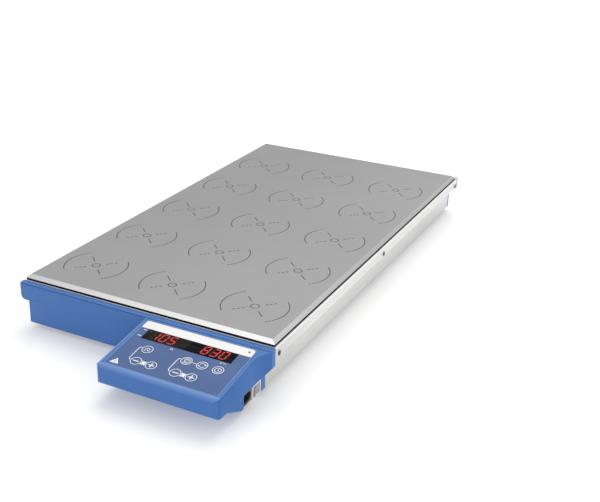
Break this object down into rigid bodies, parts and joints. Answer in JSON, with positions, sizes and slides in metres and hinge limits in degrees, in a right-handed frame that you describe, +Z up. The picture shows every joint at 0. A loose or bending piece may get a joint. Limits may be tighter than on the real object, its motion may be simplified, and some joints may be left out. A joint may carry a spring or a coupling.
{
  "type": "magnetic stirrer",
  "caption": "Low heated magnetic stirrer: a flat plate with a grid of stirring positions, a sloping front control box with keys and display, and an inlet and rocker switch in its flank.",
  "frame": {"origin": "on the bench, under the middle of the whole outline", "axes": "+X to the right as seen by a user at the control box, +Y from the control box to the rear, +Z up"},
  "size_m": [0.2768, 0.5984, 0.0524],
  "materials": {
    "plate_enamel": "satin",
    "heater_mat": "matte",
    "insulation": "matte",
    "zinc_steel": "satin",
    "black_rubber": "matte",
    "deck_sheet": "satin",
    "silver_sheet": "satin",
    "blue_moulding": "satin",
    "blue_foil": "satin",
    "window_film": "gloss",
    "key_film": "satin",
    "circuit_board": "satin",
    "switch_frame": "gloss",
    "switch_rocker": "satin",
    "inlet_moulding": "satin",
    "motor_case": "satin",
    "machined_steel": "polished",
    "brass_spacer": "satin",
    "spring_steel": "satin",
    "belt_rubber": "matte",
    "dark_screw": "satin",
    "foot_rubber": "matte",
    "rotor_moulding": "satin"
  },
  "bodies": {
    "body": {"plate": "plate_enamel", "heater_mat": "heater_mat", "insulation_board": "insulation", "temperature_sensor": "zinc_steel", "plate_seal": "black_rubber", "deck_frame": "deck_sheet", "base_pan": "zinc_steel", "left_side_panel": "silver_sheet", "right_side_panel": "silver_sheet", "front_cap": "blue_moulding", "rear_cap": "blue_moulding", "control_housing": "blue_moulding", "control_base": "blue_moulding", "control_foil": "blue_foil", "display_window": "window_film", "display_board": "circuit_board", "control_board": "circuit_board", "power_board": "circuit_board", "rocker_frame": "switch_frame", "inlet_socket": "inlet_moulding", "motor_housing": "motor_case", "bearing_plate": "zinc_steel", "spacers": "brass_spacer", "axle_pins": "machined_steel", "axle_clips": "spring_steel", "belts_lower": "belt_rubber", "belts_upper": "belt_rubber", "side_screws": "dark_screw", "base_screws": "machined_steel", "feet": "foot_rubber"},
    "motor": {"motor_rotor": "machined_steel"},
    "power_switch": {"power_rocker": "switch_rocker"},
    "key_heat_body": {"key_heat": "key_film"},
    "key_temp_down_body": {"key_temp_down": "key_film"},
    "key_temp_up_body": {"key_temp_up": "key_film"},
    "key_stir_body": {"key_stir": "key_film"},
    "key_reverse_body": {"key_reverse": "key_film"},
    "key_timer_body": {"key_timer": "key_film"},
    "key_speed_down_body": {"key_speed_down": "key_film"},
    "key_speed_up_body": {"key_speed_up": "key_film"},
    "rotor_1_1_body": {"rotor_1_1": "rotor_moulding"},
    "rotor_1_2_body": {"rotor_1_2": "rotor_moulding"},
    "rotor_1_3_body": {"rotor_1_3": "rotor_moulding"},
    "rotor_2_1_body": {"rotor_2_1": "rotor_moulding"},
    "rotor_2_2_body": {"rotor_2_2": "rotor_moulding"},
    "rotor_2_3_body": {"rotor_2_3": "rotor_moulding"},
    "rotor_3_1_body": {"rotor_3_1": "rotor_moulding"},
    "rotor_3_2_body": {"rotor_3_2": "rotor_moulding"},
    "rotor_3_3_body": {"rotor_3_3": "rotor_moulding"},
    "rotor_4_1_body": {"rotor_4_1": "rotor_moulding"},
    "rotor_4_2_body": {"rotor_4_2": "rotor_moulding"},
    "rotor_4_3_body": {"rotor_4_3": "rotor_moulding"},
    "rotor_5_1_body": {"rotor_5_1": "rotor_moulding"},
    "rotor_5_2_body": {"rotor_5_2": "rotor_moulding"},
    "rotor_5_3_body": {"rotor_5_3": "rotor_moulding"}
  },
  "joints": [
    {"name": "motor_spin", "type": "hinge", "parent": "body", "child": "motor", "pos_m": [0.09, 0.2481, 0.027], "axis": [0, 0, 1], "continuous": true},
    {"name": "rotor_1_1_spin", "type": "hinge", "parent": "body", "child": "rotor_1_1_body", "pos_m": [-0.09, -0.1639, 0.028], "axis": [0, 0, 1], "continuous": true},
    {"name": "rotor_1_2_spin", "type": "hinge", "parent": "body", "child": "rotor_1_2_body", "pos_m": [0, -0.1639, 0.028], "axis": [0, 0, 1], "continuous": true},
    {"name": "rotor_1_3_spin", "type": "hinge", "parent": "body", "child": "rotor_1_3_body", "pos_m": [0.09, -0.1639, 0.028], "axis": [0, 0, 1], "continuous": true},
    {"name": "rotor_2_1_spin", "type": "hinge", "parent": "body", "child": "rotor_2_1_body", "pos_m": [-0.09, -0.0739, 0.028], "axis": [0, 0, 1], "continuous": true},
    {"name": "rotor_2_2_spin", "type": "hinge", "parent": "body", "child": "rotor_2_2_body", "pos_m": [0, -0.0739, 0.028], "axis": [0, 0, 1], "continuous": true},
    {"name": "rotor_2_3_spin", "type": "hinge", "parent": "body", "child": "rotor_2_3_body", "pos_m": [0.09, -0.0739, 0.028], "axis": [0, 0, 1], "continuous": true},
    {"name": "rotor_3_1_spin", "type": "hinge", "parent": "body", "child": "rotor_3_1_body", "pos_m": [-0.09, 0.0161, 0.028], "axis": [0, 0, 1], "continuous": true},
    {"name": "rotor_3_2_spin", "type": "hinge", "parent": "body", "child": "rotor_3_2_body", "pos_m": [0, 0.0161, 0.028], "axis": [0, 0, 1], "continuous": true},
    {"name": "rotor_3_3_spin", "type": "hinge", "parent": "body", "child": "rotor_3_3_body", "pos_m": [0.09, 0.0161, 0.028], "axis": [0, 0, 1], "continuous": true},
    {"name": "rotor_4_1_spin", "type": "hinge", "parent": "body", "child": "rotor_4_1_body", "pos_m": [-0.09, 0.1061, 0.028], "axis": [0, 0, 1], "continuous": true},
    {"name": "rotor_4_2_spin", "type": "hinge", "parent": "body", "child": "rotor_4_2_body", "pos_m": [0, 0.1061, 0.028], "axis": [0, 0, 1], "continuous": true},
    {"name": "rotor_4_3_spin", "type": "hinge", "parent": "body", "child": "rotor_4_3_body", "pos_m": [0.09, 0.1061, 0.028], "axis": [0, 0, 1], "continuous": true},
    {"name": "rotor_5_1_spin", "type": "hinge", "parent": "body", "child": "rotor_5_1_body", "pos_m": [-0.09, 0.1961, 0.028], "axis": [0, 0, 1], "continuous": true},
    {"name": "rotor_5_2_spin", "type": "hinge", "parent": "body", "child": "rotor_5_2_body", "pos_m": [0, 0.1961, 0.028], "axis": [0, 0, 1], "continuous": true},
    {"name": "rotor_5_3_spin", "type": "hinge", "parent": "body", "child": "rotor_5_3_body", "pos_m": [0.09, 0.1961, 0.028], "axis": [0, 0, 1], "continuous": true},
    {"name": "key_heat_press", "type": "slide", "parent": "body", "child": "key_heat_body", "axis": [0, 0.1288, -0.9917], "range_m": [0, 0.0004], "stiffness_N_per_m": 900, "springref_m": -0.0006},
    {"name": "key_temp_down_press", "type": "slide", "parent": "body", "child": "key_temp_down_body", "axis": [0, 0.1288, -0.9917], "range_m": [0, 0.0004], "stiffness_N_per_m": 900, "springref_m": -0.0006},
    {"name": "key_temp_up_press", "type": "slide", "parent": "body", "child": "key_temp_up_body", "axis": [0, 0.1288, -0.9917], "range_m": [0, 0.0004], "stiffness_N_per_m": 900, "springref_m": -0.0006},
    {"name": "key_stir_press", "type": "slide", "parent": "body", "child": "key_stir_body", "axis": [0, 0.1288, -0.9917], "range_m": [0, 0.0004], "stiffness_N_per_m": 900, "springref_m": -0.0006},
    {"name": "key_reverse_press", "type": "slide", "parent": "body", "child": "key_reverse_body", "axis": [0, 0.1288, -0.9917], "range_m": [0, 0.0004], "stiffness_N_per_m": 900, "springref_m": -0.0006},
    {"name": "key_timer_press", "type": "slide", "parent": "body", "child": "key_timer_body", "axis": [0, 0.1288, -0.9917], "range_m": [0, 0.0004], "stiffness_N_per_m": 900, "springref_m": -0.0006},
    {"name": "key_speed_down_press", "type": "slide", "parent": "body", "child": "key_speed_down_body", "axis": [0, 0.1288, -0.9917], "range_m": [0, 0.0004], "stiffness_N_per_m": 900, "springref_m": -0.0006},
    {"name": "key_speed_up_press", "type": "slide", "parent": "body", "child": "key_speed_up_body", "axis": [0, 0.1288, -0.9917], "range_m": [0, 0.0004], "stiffness_N_per_m": 900, "springref_m": -0.0006},
    {"name": "power_rocker_tilt", "type": "hinge", "parent": "body", "child": "power_switch", "pos_m": [0.1272, -0.2315, 0.01145], "axis": [0, 0, 1], "range_deg": [-14, 0]}
  ],
  "couplings": [
    {"joint": "rotor_1_1_spin", "follows": "motor_spin", "ratio": 0.5},
    {"joint": "rotor_1_2_spin", "follows": "motor_spin", "ratio": 0.5},
    {"joint": "rotor_1_3_spin", "follows": "motor_spin", "ratio": 0.5},
    {"joint": "rotor_2_1_spin", "follows": "motor_spin", "ratio": 0.5},
    {"joint": "rotor_2_2_spin", "follows": "motor_spin", "ratio": 0.5},
    {"joint": "rotor_2_3_spin", "follows": "motor_spin", "ratio": 0.5},
    {"joint": "rotor_3_1_spin", "follows": "motor_spin", "ratio": 0.5},
    {"joint": "rotor_3_2_spin", "follows": "motor_spin", "ratio": 0.5},
    {"joint": "rotor_3_3_spin", "follows": "motor_spin", "ratio": 0.5},
    {"joint": "rotor_4_1_spin", "follows": "motor_spin", "ratio": 0.5},
    {"joint": "rotor_4_2_spin", "follows": "motor_spin", "ratio": 0.5},
    {"joint": "rotor_4_3_spin", "follows": "motor_spin", "ratio": 0.5},
    {"joint": "rotor_5_1_spin", "follows": "motor_spin", "ratio": 0.5},
    {"joint": "rotor_5_2_spin", "follows": "motor_spin", "ratio": 0.5},
    {"joint": "rotor_5_3_spin", "follows": "motor_spin", "ratio": 0.5}
  ]
}
